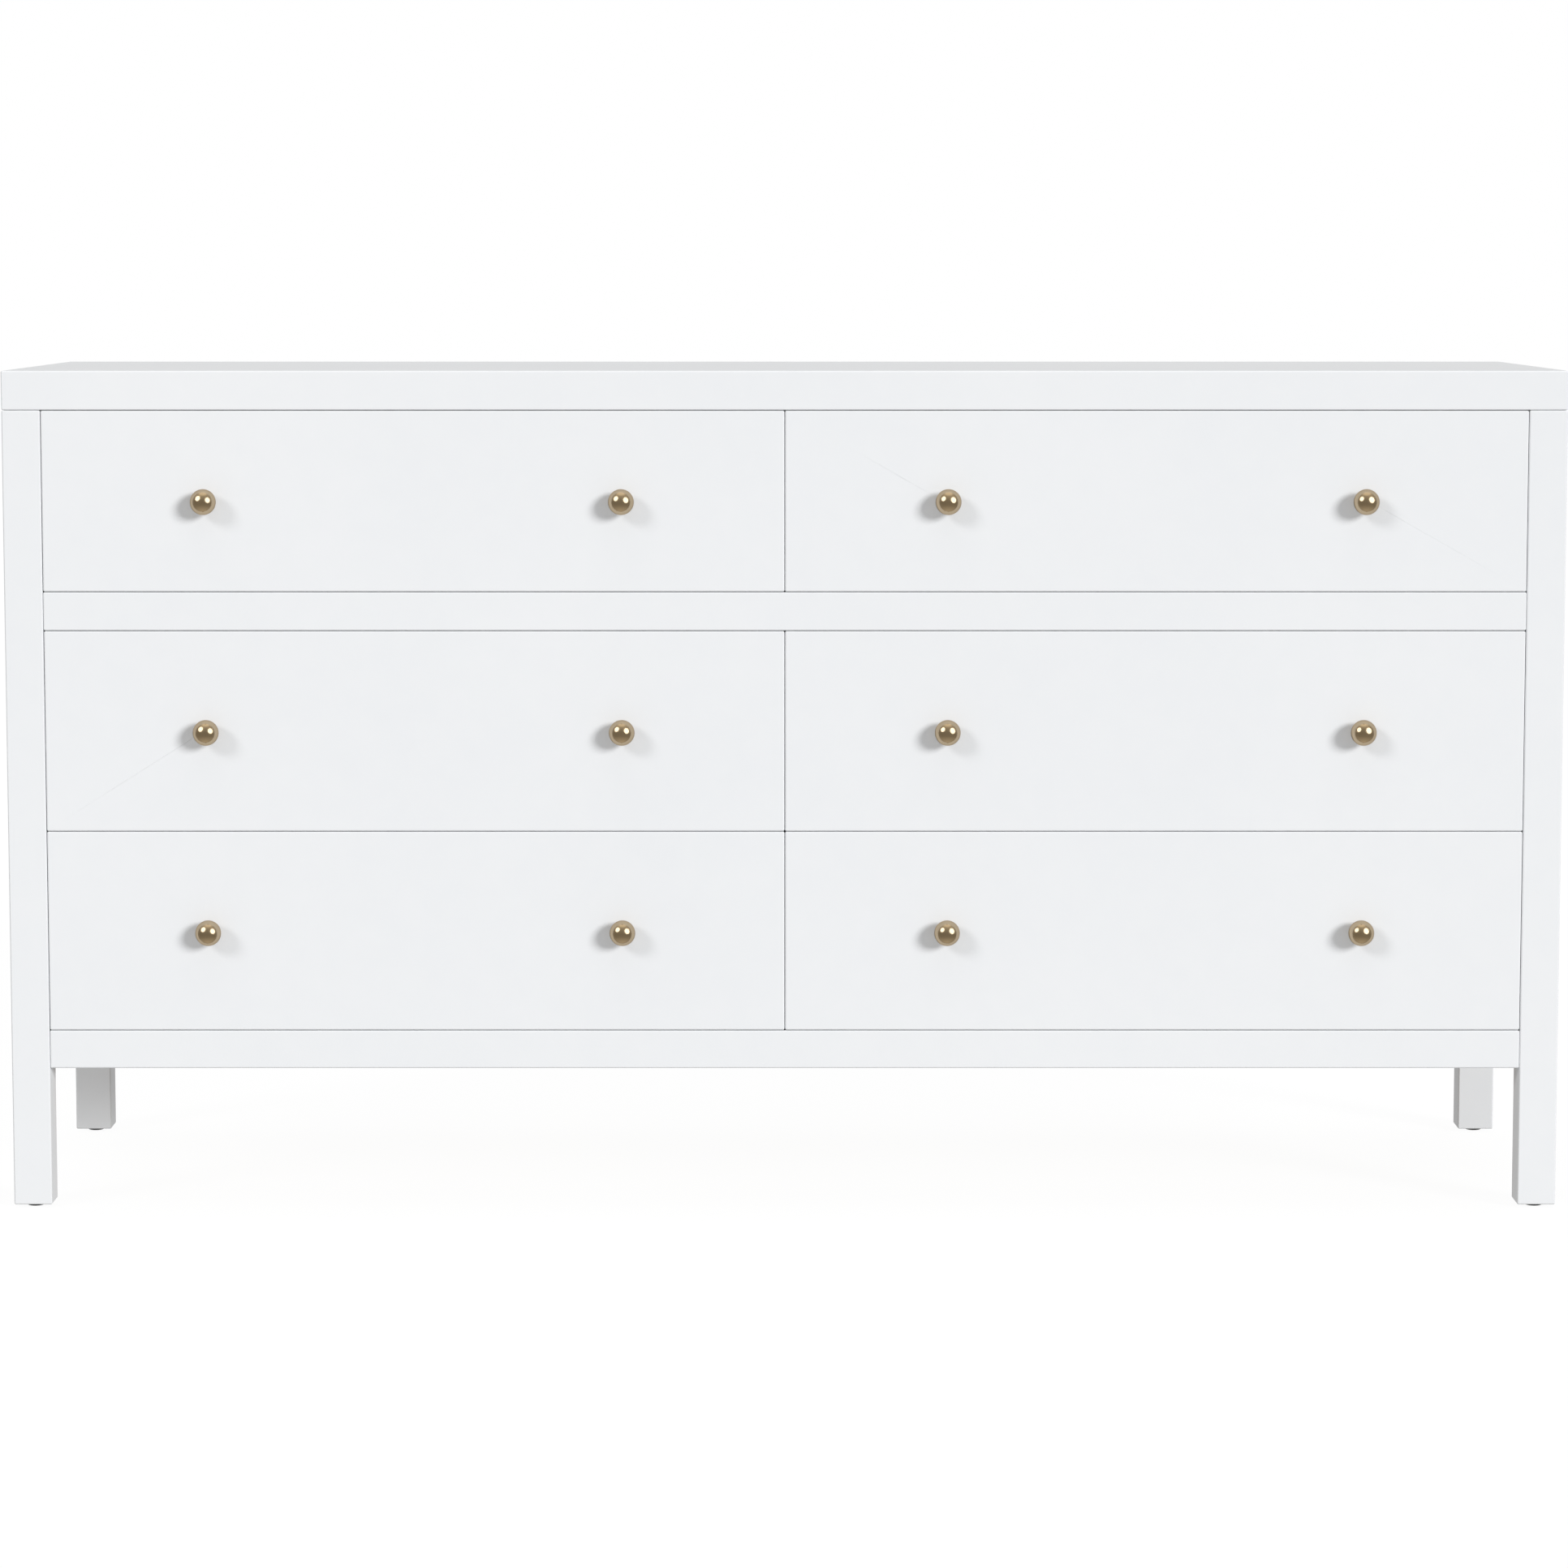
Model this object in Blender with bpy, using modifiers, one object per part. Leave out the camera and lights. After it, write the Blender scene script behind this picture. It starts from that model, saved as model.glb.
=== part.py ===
"""A wide six-drawer dresser on four square legs, with inset drawer fronts and brass ball knobs.

Frame: metres, +Z up, the front faces -Y. The origin is on the floor, under the middle of the
overall box, knobs included. "outer" means towards a side of the case, "inner" towards its middle.
"""

import math

import bpy
from mathutils import Vector

# Driving dimensions -------------------------------------------------------------------------
WIDTH = 1.524                # over the legs and the top, 60 inches
CASE_DEPTH = 0.464           # legs and top, without the knobs
STOCK = 0.0375               # square legs, height of the rails
TOP_T = 0.0381
FOOT_CLEARANCE = 0.140       # floor to the underside of the bottom rail
LOWER_FRONT_H = 0.1966       # drawer fronts of the lower and the middle row
UPPER_FRONT_H = 0.1762       # drawer fronts of the upper row
REVEAL = 0.0006              # gap round each drawer front
EASE = 0.001                 # chamfer that eases every sharp board edge
FIT = 0.0003                 # gap between pieces that touch or are joined

FRONT_T = 0.019              # drawer front thickness
RAIL_T = 0.020               # depth of the front rails
BACK_RAIL_T = 0.018          # depth of the back rails
TENON_T = 0.010              # rail tenons
TENON_H = 0.024
TENON_LENGTH = 0.012
SIDE_PANEL_T = 0.015
SIDE_RECESS = 0.008          # side panel behind the outer face of the legs
SIDE_GROOVE = 0.006          # how deep the side panel enters each leg
BACK_PANEL_T = 0.005
BACK_RABBET = 0.008          # rabbet in the back legs that takes the back panel
PARTITION_T = 0.018
STRETCHER_T = 0.018
STRETCHER_WIDTH = 0.060

BOX_WALL_T = 0.012           # drawer box walls
BOX_LENGTH = 0.400
BOX_RISE = 0.012             # box edge above the bottom edge of its front
UPPER_BOX_H = 0.130
LOWER_BOX_H = 0.150
BOTTOM_T = 0.004             # drawer bottom panel
BOTTOM_RISE = 0.010          # bottom groove above the box edge
GROOVE = 0.005               # depth of the bottom groove
LAP = 0.003                  # how far joined shapes run into each other

SLIDE_LENGTH = 0.400
SLIDE_SPACE = 0.0127         # half-inch side clearance that the slide fills
SLIDE_H = 0.035
SLIDE_DEPTH = 0.0100         # cabinet channel, web to lip
SLIDE_SHEET = 0.0012         # steel thickness
SLIDE_LIP = 0.004
SLIDE_RISE = 0.050           # slide axis above the lower edge of the drawer box
DRAWER_BAR_H = 0.022         # the slide's drawer member, joined to the box side
DRAWER_BAR_T = 0.009
CLEAT_H = 0.045              # strips that bring the slides flush with the legs

KNOB_PROJECTION = 0.028
KNOB_R = 0.0126
KNOB_SPACING = 0.406
NECK_R = 0.0045
KNOB_BASE_R = 0.0065
KNOB_BASE_H = 0.002
SCREW_R = 0.00175
SCREW_HEAD_R = 0.0042
SCREW_HEAD_H = 0.0025
SCREW_HOLE_R = 0.00195

GLIDE_H = 0.0035
GLIDE_R = 0.0095
NAIL_R = 0.0016
NAIL_LENGTH = 0.018
NAIL_HOLE_R = 0.002

TURNED_STEPS = 16            # flats round a knob or glide
BALL_STEPS = 10              # chords over a knob's ball
HOLE_SIDES = 12

# Derived places -----------------------------------------------------------------------------
HALF_WIDTH = WIDTH / 2
FRONT_Y = -(CASE_DEPTH + KNOB_PROJECTION) / 2 + KNOB_PROJECTION
BACK_Y = FRONT_Y + CASE_DEPTH
LEG_IN_X = HALF_WIDTH - STOCK                     # inner face of the right legs
BOTTOM_RAIL_Z = FOOT_CLEARANCE
LOWER_Z = BOTTOM_RAIL_Z + STOCK + REVEAL          # bottom edges of the three rows of fronts
MIDDLE_Z = LOWER_Z + LOWER_FRONT_H + REVEAL
MIDDLE_RAIL_Z = MIDDLE_Z + LOWER_FRONT_H + REVEAL
UPPER_Z = MIDDLE_RAIL_Z + STOCK + REVEAL
TOP_Z = UPPER_Z + UPPER_FRONT_H + REVEAL          # underside of the top
HEIGHT = TOP_Z + TOP_T
FRONT_BACK_Y = FRONT_Y + FRONT_T                  # rear face of the drawer fronts
BACK_PANEL_Y = BACK_Y - BACK_RABBET               # seat of the back panel
BACK_RAIL_Y = BACK_PANEL_Y - BACK_RAIL_T
BOX_FRONT_Y = FRONT_BACK_Y + FIT
BOX_BACK_Y = BOX_FRONT_Y + BOX_LENGTH
BOX_IN_X = PARTITION_T / 2 + SLIDE_SPACE + FIT    # drawer box, the side by the partition
BOX_OUT_X = LEG_IN_X - SLIDE_SPACE - FIT          # drawer box, the side by the legs
DRAWER_MID_X = (REVEAL / 2 + LEG_IN_X - REVEAL) / 2

ROWS = {  # name: bottom edge of the front, height of the front, height of the box
    "upper": (UPPER_Z, UPPER_FRONT_H, UPPER_BOX_H),
    "middle": (MIDDLE_Z, LOWER_FRONT_H, LOWER_BOX_H),
    "lower": (LOWER_Z, LOWER_FRONT_H, LOWER_BOX_H),
}
SIDES = {"left": -1, "right": 1}
ENDS = {"front": FRONT_Y + STOCK / 2, "back": BACK_Y - STOCK / 2}     # Y of the leg axes


# Scene and materials ------------------------------------------------------------------------
def clear_scene():
    for obj in list(bpy.data.objects):
        bpy.data.objects.remove(obj, do_unlink=True)


def new_collection(name, helper=False):
    collection = bpy.data.collections.new(name)
    collection.hide_render = helper
    bpy.context.scene.collection.children.link(collection)
    return collection


def new_material(name, colour, roughness, metallic=0.0):
    material = bpy.data.materials.new(name)
    material.use_nodes = True
    shader = material.node_tree.nodes["Principled BSDF"]
    shader.inputs["Base Color"].default_value = (*colour, 1.0)
    shader.inputs["Roughness"].default_value = roughness
    shader.inputs["Metallic"].default_value = metallic
    material.diffuse_color = (*colour, 1.0)
    return material


# Shape helpers ------------------------------------------------------------------------------
def file_object(obj, name, collection):
    """Names an object and moves it to its own collection."""
    obj.name = name
    obj.data.name = name
    for old in list(obj.users_collection):
        old.objects.unlink(obj)
    collection.objects.link(obj)
    return obj


def box(name, low, high, collection):
    """A box between two opposite corners, given in any order."""
    low, high = Vector(map(min, low, high)), Vector(map(max, low, high))
    bpy.ops.mesh.primitive_cube_add(size=1, location=(low + high) / 2)
    obj = bpy.context.object
    obj.scale = high - low
    bpy.ops.object.transform_apply(location=False, rotation=False, scale=True)
    return file_object(obj, name, collection)


def board(name, low, high, material, ease=EASE):
    """A box that is a part, with its edges eased by a small chamfer."""
    obj = box(name, low, high, parts)
    obj.data.materials.append(material)
    bevel = obj.modifiers.new("eased_edges", "BEVEL")
    bevel.width = ease
    bevel.segments = 1
    bevel.limit_method = "ANGLE"
    return obj


def rod(name, start, end, radius):
    """A round cutter from one point to another."""
    start, end = Vector(start), Vector(end)
    bpy.ops.mesh.primitive_cylinder_add(
        vertices=HOLE_SIDES, radius=radius, depth=(end - start).length, location=(start + end) / 2
    )
    obj = bpy.context.object
    obj.rotation_euler = (end - start).to_track_quat("Z", "Y").to_euler()
    return as_tool(file_object(obj, name, tools))


def block(name, low, high):
    """A box that cuts or joins."""
    return as_tool(box(name, low, high, tools))


def as_tool(obj):
    obj.hide_render = True
    obj.display_type = "WIRE"
    return obj


def combine(obj, tool, operation):
    modifier = obj.modifiers.new(tool.name, "BOOLEAN")
    modifier.operation = operation
    modifier.solver = "EXACT"
    modifier.object = tool
    return obj


def cut(obj, *cutters):
    for cutter in cutters:
        combine(obj, cutter, "DIFFERENCE")
    return obj


def join(obj, *pieces):
    for piece in pieces:
        combine(obj, piece, "UNION")
    return obj


def turned(name, profile, material, location, rotation):
    """A solid of revolution about its own Z, from (radius, height) points that run from top to bottom."""
    mesh = bpy.data.meshes.new(name)
    points = [(radius, 0.0, height) for radius, height in profile]
    edges = [(i, i + 1) for i in range(len(points) - 1)]
    mesh.from_pydata(points, edges, [])
    obj = bpy.data.objects.new(name, mesh)
    parts.objects.link(obj)
    obj.data.materials.append(material)
    screw = obj.modifiers.new("turn", "SCREW")
    screw.axis = "Z"
    screw.steps = TURNED_STEPS
    screw.render_steps = TURNED_STEPS
    screw.use_merge_vertices = True
    screw.merge_threshold = 0.00005
    screw.use_smooth_shade = True
    obj.location = location
    obj.rotation_euler = rotation
    return obj


def body_origin(name, location):
    """The empty that carries a drawer, with its -Y axis along the drawer's travel."""
    empty = bpy.data.objects.new(name, None)
    empty.location = location
    parts.objects.link(empty)
    return empty


def carry(empty, *pieces):
    for piece in pieces:
        piece.parent = empty
        piece.matrix_parent_inverse = empty.matrix_basis.inverted()


# Case ---------------------------------------------------------------------------------------
def make_leg(end, side):
    """A square leg with a groove for the side panel, its mortises and the hole for the glide's nail."""
    name = f"leg_{end}_{side}"
    sign, axis_y = SIDES[side], ENDS[end]
    axis_x = sign * (HALF_WIDTH - STOCK / 2)
    half = STOCK / 2
    leg = board(
        name,
        (axis_x - half, axis_y - half, GLIDE_H),
        (axis_x + half, axis_y + half, TOP_Z - FIT),
        white_paint,
    )
    hole_end = (axis_x, axis_y, GLIDE_H + NAIL_LENGTH + FIT)
    cut(leg, rod(f"{name}_nail_hole", (axis_x, axis_y, 0), hole_end, NAIL_HOLE_R))
    cut(leg, side_panel_groove(name, end, sign))
    rails = {"front": (BOTTOM_RAIL_Z, MIDDLE_RAIL_Z), "back": (BOTTOM_RAIL_Z, TOP_Z - FIT - STOCK)}[end]
    for number, rail_z in enumerate(rails):
        low, high = tenon_corners(end, sign, rail_z, clearance=FIT)
        cut(leg, block(f"{name}_mortise_{number}", low, high))
    if end == "back":
        rabbet_low = (sign * (LEG_IN_X - STOCK), BACK_PANEL_Y, BOTTOM_RAIL_Z - FIT)
        rabbet_high = (sign * (LEG_IN_X + BACK_RABBET), BACK_Y + STOCK, HEIGHT)
        cut(leg, block(f"{name}_rabbet", rabbet_low, rabbet_high))
    return leg


def side_panel_groove(name, end, sign):
    """Cutter for the groove that a side panel's edge enters, open at the leg's top."""
    outer_x = HALF_WIDTH - SIDE_RECESS + FIT
    inner_x = HALF_WIDTH - SIDE_RECESS - SIDE_PANEL_T - FIT
    face_y = ENDS[end] + STOCK / 2 if end == "front" else ENDS[end] - STOCK / 2
    inwards = -1 if end == "front" else 1
    return block(
        f"{name}_groove",
        (sign * inner_x, face_y - inwards * STOCK, BOTTOM_RAIL_Z - FIT),
        (sign * outer_x, face_y + inwards * (SIDE_GROOVE + FIT), HEIGHT),
    )


def tenon_corners(end, sign, rail_z, clearance=0.0):
    """Opposite corners of a rail's tenon, or of its mortise when there is a clearance."""
    rail_y = FRONT_Y + RAIL_T / 2 if end == "front" else BACK_RAIL_Y + BACK_RAIL_T / 2
    middle_z = rail_z + STOCK / 2
    tip_x = LEG_IN_X + TENON_LENGTH + clearance
    root_x = LEG_IN_X - TENON_LENGTH
    low = (sign * root_x, rail_y - TENON_T / 2 - clearance, middle_z - TENON_H / 2 - clearance)
    high = (sign * tip_x, rail_y + TENON_T / 2 + clearance, middle_z + TENON_H / 2 + clearance)
    return low, high


def make_rail(name, end, rail_z):
    """A rail between two legs, with a tenon at each end."""
    low_y, high_y = (FRONT_Y, FRONT_Y + RAIL_T) if end == "front" else (BACK_RAIL_Y, BACK_PANEL_Y)
    reach = LEG_IN_X - FIT
    rail = board(name, (-reach, low_y, rail_z), (reach, high_y, rail_z + STOCK), white_paint)
    for side, sign in SIDES.items():
        join(rail, block(f"{name}_tenon_{side}", *tenon_corners(end, sign, rail_z)))
    return rail


def make_side_panel(side):
    """A side panel let into the leg grooves, with the three cleats glued to its inner face."""
    sign = SIDES[side]
    name = f"side_panel_{side}"
    outer_x = HALF_WIDTH - SIDE_RECESS
    inner_x = outer_x - SIDE_PANEL_T
    front_y = FRONT_Y + STOCK
    back_y = BACK_Y - STOCK
    panel = box(
        name,
        (sign * inner_x, front_y - SIDE_GROOVE, BOTTOM_RAIL_Z),
        (sign * outer_x, back_y + SIDE_GROOVE, TOP_Z - FIT),
        parts,
    )
    panel.data.materials.append(white_paint)
    for row, (front_z, _, _) in ROWS.items():
        axis_z = front_z + BOX_RISE + SLIDE_RISE
        join(panel, block(
            f"{name}_cleat_{row}",
            (sign * LEG_IN_X, front_y + FIT, axis_z - CLEAT_H / 2),
            (sign * (inner_x + SIDE_PANEL_T / 2), back_y - FIT, axis_z + CLEAT_H / 2),
        ))
    return panel


def make_partition():
    """The upright panel between the two stacks, notched round the stretcher and the back rails."""
    half = PARTITION_T / 2
    partition = board(
        "centre_partition",
        (-half, FRONT_Y + RAIL_T + FIT, BOTTOM_RAIL_Z),
        (half, BACK_PANEL_Y, TOP_Z - FIT),
        white_paint,
    )
    stretcher_low, stretcher_high = stretcher_corners()
    back_rail_top_z = TOP_Z - FIT - STOCK
    notches = {
        "stretcher": (FRONT_Y, stretcher_high[1] + FIT, stretcher_low[2] - FIT, HEIGHT),
        "top_rail": (BACK_RAIL_Y - FIT, BACK_Y, back_rail_top_z - FIT, HEIGHT),
        "bottom_rail": (BACK_RAIL_Y - FIT, BACK_Y, 0.0, BOTTOM_RAIL_Z + STOCK + FIT),
    }
    for name, (low_y, high_y, low_z, high_z) in notches.items():
        cut(partition, block(f"partition_notch_{name}", (-STOCK, low_y, low_z), (STOCK, high_y, high_z)))
    return partition


def stretcher_corners():
    reach = LEG_IN_X - FIT
    low_y = FRONT_BACK_Y + REVEAL
    return (-reach, low_y, TOP_Z - FIT - STRETCHER_T), (reach, low_y + STRETCHER_WIDTH, TOP_Z - FIT)


def make_glide(end, side):
    """A round nail-on glide: a pad under the leg and its nail up the leg's axis."""
    chamfer = EASE
    profile = [
        (0.0, GLIDE_H + NAIL_LENGTH),
        (NAIL_R, GLIDE_H + NAIL_LENGTH - chamfer),
        (NAIL_R, GLIDE_H - FIT),
        (GLIDE_R, GLIDE_H - FIT),
        (GLIDE_R, chamfer),
        (GLIDE_R - chamfer, 0.0),
        (0.0, 0.0),
    ]
    location = (SIDES[side] * (HALF_WIDTH - STOCK / 2), ENDS[end], 0)
    return turned(f"glide_{end}_{side}", profile, dark_plastic, location, (0, 0, 0))


def make_case():
    board("top_panel", (-HALF_WIDTH, FRONT_Y, TOP_Z), (HALF_WIDTH, BACK_Y, HEIGHT), white_paint)
    for end in ENDS:
        for side in SIDES:
            make_leg(end, side)
            make_glide(end, side)
    for side in SIDES:
        make_side_panel(side)
    make_rail("front_rail_bottom", "front", BOTTOM_RAIL_Z)
    make_rail("front_rail_middle", "front", MIDDLE_RAIL_Z)
    make_rail("back_rail_bottom", "back", BOTTOM_RAIL_Z)
    make_rail("back_rail_top", "back", TOP_Z - FIT - STOCK)
    board("top_stretcher_front", *stretcher_corners(), white_paint)
    make_partition()
    panel_x = LEG_IN_X + BACK_RABBET - FIT
    back_low = (-panel_x, BACK_PANEL_Y + FIT, BOTTOM_RAIL_Z)
    back_high = (panel_x, BACK_PANEL_Y + FIT + BACK_PANEL_T, TOP_Z - FIT)
    box("back_panel", back_low, back_high, parts).data.materials.append(white_board)


# Drawer slides ------------------------------------------------------------------------------
def make_slide(row, side, place):
    """The cabinet member of a drawer slide: a lipped steel channel that opens towards the drawer."""
    half = SLIDE_H / 2
    lower_half = [
        (0, -half),
        (SLIDE_DEPTH, -half),
        (SLIDE_DEPTH, SLIDE_LIP - half),
        (SLIDE_DEPTH - SLIDE_SHEET, SLIDE_LIP - half),
        (SLIDE_DEPTH - SLIDE_SHEET, SLIDE_SHEET - half),
        (SLIDE_SHEET, SLIDE_SHEET - half),
    ]
    outline = lower_half + [(x, -z) for x, z in reversed(lower_half)]
    sign = SIDES[side]
    wall_x, opens = (LEG_IN_X - FIT, -sign) if place == "outer" else (PARTITION_T / 2 + FIT, sign)
    name = f"slide_{row}_{side}_{place}"
    curve = bpy.data.curves.new(name, "CURVE")
    curve.dimensions = "2D"
    curve.fill_mode = "BOTH"
    curve.extrude = SLIDE_LENGTH / 2
    spline = curve.splines.new("POLY")
    spline.points.add(len(outline) - 1)
    for point, (x, z) in zip(spline.points, outline):
        point.co = (opens * x, z, 0, 1)
    spline.use_cyclic_u = True
    obj = bpy.data.objects.new(name, curve)
    parts.objects.link(obj)
    obj.data.materials.append(zinc_steel)
    axis_z = ROWS[row][0] + BOX_RISE + SLIDE_RISE
    obj.location = (sign * wall_x, BOX_FRONT_Y + REVEAL + SLIDE_LENGTH / 2, axis_z)
    obj.rotation_euler = (math.pi / 2, 0, 0)
    return obj


# Drawers ------------------------------------------------------------------------------------
def knob_profile():
    """(radius, height) from the ball's tip to the screw head; height 0 is the face of the drawer front."""
    centre = KNOB_PROJECTION - KNOB_R
    neck_angle = math.pi - math.asin(NECK_R / KNOB_R)
    angles = [neck_angle * i / BALL_STEPS for i in range(BALL_STEPS + 1)]
    ball = [(KNOB_R * math.sin(angle), centre + KNOB_R * math.cos(angle)) for angle in angles]
    head = -FRONT_T - BOX_WALL_T - 2 * FIT
    base = [
        (NECK_R, KNOB_BASE_H),
        (KNOB_BASE_R, KNOB_BASE_H),
        (KNOB_BASE_R, FIT),
        (SCREW_R, FIT),
        (SCREW_R, head),
        (SCREW_HEAD_R, head),
        (SCREW_HEAD_R, head - SCREW_HEAD_H),
        (0.0, head - SCREW_HEAD_H),
    ]
    return ball + base


def make_knobs(row, side, middle_z):
    """Two ball knobs, each with its screw through the drawer front and the box, and their holes."""
    knobs, holes = [], []
    for place, offset in (("inner", -KNOB_SPACING / 2), ("outer", KNOB_SPACING / 2)):
        x = SIDES[side] * (DRAWER_MID_X + offset)
        name = f"knob_{row}_{side}_{place}"
        knobs.append(turned(name, knob_profile(), brass, (x, FRONT_Y, middle_z), (math.pi / 2, 0, 0)))
        front, back = (x, FRONT_Y - STOCK, middle_z), (x, FRONT_BACK_Y + STOCK, middle_z)
        holes.append(rod(f"{name}_hole", front, back, SCREW_HOLE_R))
    return knobs, holes


def make_drawer_box(row, side, box_z, box_h, cutters):
    """Four walls glued into one frame, with the drawer members of the slides on its two sides."""
    sign = SIDES[side]
    name = f"drawer_box_{row}_{side}"
    top_z = box_z + box_h
    frame = box(name, (sign * BOX_IN_X, BOX_FRONT_Y, box_z), (sign * BOX_OUT_X, BOX_BACK_Y, top_z), parts)
    frame.data.materials.append(drawer_wood)
    cut(frame, block(
        f"{name}_inside",
        (sign * (BOX_IN_X + BOX_WALL_T), BOX_FRONT_Y + BOX_WALL_T, box_z - STOCK),
        (sign * (BOX_OUT_X - BOX_WALL_T), BOX_BACK_Y - BOX_WALL_T, top_z + STOCK),
    ))
    axis_z = box_z + SLIDE_RISE
    for place, wall_x, inwards in (("inner", BOX_IN_X, 1), ("outer", BOX_OUT_X, -1)):
        join(frame, block(
            f"{name}_member_{place}",
            (sign * (wall_x - inwards * DRAWER_BAR_T), BOX_FRONT_Y + REVEAL, axis_z - DRAWER_BAR_H / 2),
            (sign * (wall_x + inwards * LAP), BOX_BACK_Y - REVEAL, axis_z + DRAWER_BAR_H / 2),
        ))
    return cut(frame, *cutters)


def make_drawer(row, side):
    """One drawer: front, box, bottom panel and two knobs, on an empty that slides along -Y."""
    sign = SIDES[side]
    front_z, front_h, box_h = ROWS[row]
    box_z = front_z + BOX_RISE
    groove_z = box_z + BOTTOM_RISE
    groove_in_x = BOX_IN_X + BOX_WALL_T - GROOVE
    groove_out_x = BOX_OUT_X - BOX_WALL_T + GROOVE
    groove_front_y = BOX_FRONT_Y + BOX_WALL_T - GROOVE
    groove_back_y = BOX_BACK_Y - BOX_WALL_T + GROOVE
    groove = block(
        f"drawer_groove_{row}_{side}",
        (sign * groove_in_x, groove_front_y, groove_z),
        (sign * groove_out_x, groove_back_y, groove_z + BOTTOM_T + 2 * FIT),
    )
    knobs, holes = make_knobs(row, side, front_z + front_h / 2)
    front = board(
        f"drawer_front_{row}_{side}",
        (sign * REVEAL / 2, FRONT_Y, front_z),
        (sign * (LEG_IN_X - REVEAL), FRONT_BACK_Y, front_z + front_h),
        white_paint,
    )
    cut(front, *holes)
    frame = make_drawer_box(row, side, box_z, box_h, (groove, *holes))
    bottom = box(
        f"drawer_bottom_{row}_{side}",
        (sign * (groove_in_x + FIT), groove_front_y + FIT, groove_z + FIT),
        (sign * (groove_out_x - FIT), groove_back_y - FIT, groove_z + FIT + BOTTOM_T),
        parts,
    )
    bottom.data.materials.append(bottom_ply)
    origin = body_origin(f"drawer_{row}_{side}", (sign * DRAWER_MID_X, FRONT_Y, front_z))
    carry(origin, front, frame, bottom, *knobs)
    for place in ("outer", "inner"):
        make_slide(row, side, place)


clear_scene()
parts = new_collection("six_drawer_dresser")
tools = new_collection("cutters", helper=True)

white_paint = new_material("white_paint", (0.86, 0.87, 0.885), 0.42)
white_board = new_material("white_board", (0.80, 0.80, 0.80), 0.60)
drawer_wood = new_material("drawer_wood", (0.66, 0.50, 0.33), 0.55)
bottom_ply = new_material("bottom_ply", (0.70, 0.56, 0.39), 0.60)
zinc_steel = new_material("zinc_steel", (0.60, 0.61, 0.62), 0.30, metallic=1.0)
brass = new_material("brass", (0.50, 0.40, 0.26), 0.25, metallic=1.0)
dark_plastic = new_material("dark_plastic", (0.03, 0.03, 0.03), 0.50)

make_case()
for row_name in ROWS:
    for side_name in SIDES:
        make_drawer(row_name, side_name)
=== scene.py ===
"""The dresser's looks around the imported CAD: finishes, knobs, joinery, slides, floor, light and camera.

Lengths are in metres. +X is to the right for someone facing the drawers, +Y towards the wall, +Z up.
"""

import math

import bmesh
import bpy
from mathutils import Matrix, Vector


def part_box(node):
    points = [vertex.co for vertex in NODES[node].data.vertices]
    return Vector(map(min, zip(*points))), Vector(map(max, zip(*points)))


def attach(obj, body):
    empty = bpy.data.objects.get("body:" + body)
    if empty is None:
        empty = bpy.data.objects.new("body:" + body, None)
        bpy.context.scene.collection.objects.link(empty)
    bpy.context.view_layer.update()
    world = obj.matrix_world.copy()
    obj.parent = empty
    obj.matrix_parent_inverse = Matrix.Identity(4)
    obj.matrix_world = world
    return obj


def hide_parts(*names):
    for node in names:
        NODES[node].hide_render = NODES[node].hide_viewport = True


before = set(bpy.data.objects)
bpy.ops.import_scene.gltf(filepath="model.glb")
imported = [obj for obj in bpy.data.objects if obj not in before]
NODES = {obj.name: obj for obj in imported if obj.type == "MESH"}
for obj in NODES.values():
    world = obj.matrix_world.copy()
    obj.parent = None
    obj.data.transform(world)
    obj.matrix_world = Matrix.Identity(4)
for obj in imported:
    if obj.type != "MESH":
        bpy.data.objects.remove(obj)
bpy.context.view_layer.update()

MM = 0.001
ROWS = ("upper", "middle", "lower")
SIDES = {"left": -1, "right": 1}
PLACES = ("inner", "outer")

# Painted boards
WELD_DISTANCE = 0.01 * MM
ARRIS_ROUNDING = 0.4 * MM

# Ball knobs, measured outwards from the drawer front
KNOB_R = 12.6 * MM
KNOB_REACH = 28.0 * MM
KNOB_NECK_R = 4.5 * MM
KNOB_BASE_R = 6.5 * MM
KNOB_BASE_T = 2.0 * MM
KNOB_SEGMENTS = 96

# Screws
HEAD_R = 4.2 * MM
HEAD_H = 2.4 * MM
KNOB_SHANK_R = 1.7 * MM
KNOB_SHANK_L = 24 * MM
SLIDE_HEAD_R = 3.4 * MM
SLIDE_HEAD_H = 1.5 * MM
SLIDE_SHANK_R = 1.6 * MM
SLIDE_SHANK_L = 5 * MM
SCREW_SEGMENTS = 28

# Back panel tacks
TACK_R = 3.2 * MM
TACK_H = 0.9 * MM
TACK_INSET = 4 * MM
TACK_GAPS_ACROSS = 12        # between the tacks along the top and bottom edges
TACK_GAPS_UP = 7             # between the tacks up each side

# Drawer boxes
WALL_T = 12 * MM
TAIL_PITCH = 31 * MM
TAIL_SHARE = 0.36            # half of a tail's wide end, as a share of the pitch
TAIL_SLOPE = 1 / 7
JOINT_GAP = 0.06 * MM
WALL_ROUNDING = 0.35 * MM

# Drawer slides
SHEET_T = 1.2 * MM
CASE_MEMBER_H = 35 * MM
CASE_MEMBER_D = 10 * MM
CASE_MEMBER_LIP = 4 * MM
DRAWER_MEMBER_H = 22 * MM
DRAWER_MEMBER_D = 9 * MM
DRAWER_MEMBER_LIP = 2.2 * MM
DRAWER_MEMBER_INSET = 1.6 * MM           # from each end of the drawer box
SLIDE_RISE = 50 * MM         # from the bottom of the drawer box to the slide's axis
SLIDE_BEND = 1.3 * MM
SEAT_GAP = 0.05 * MM         # between the box wall and the hardware on it
BALL_R = 2.3 * MM
BALL_PITCH = 9 * MM
CAGE_T = 0.6 * MM
CAGE_LENGTH = 88 * MM
CAGE_INSET = 6 * MM          # from the front of the case member
CAGE_BEND = 0.8 * MM
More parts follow.
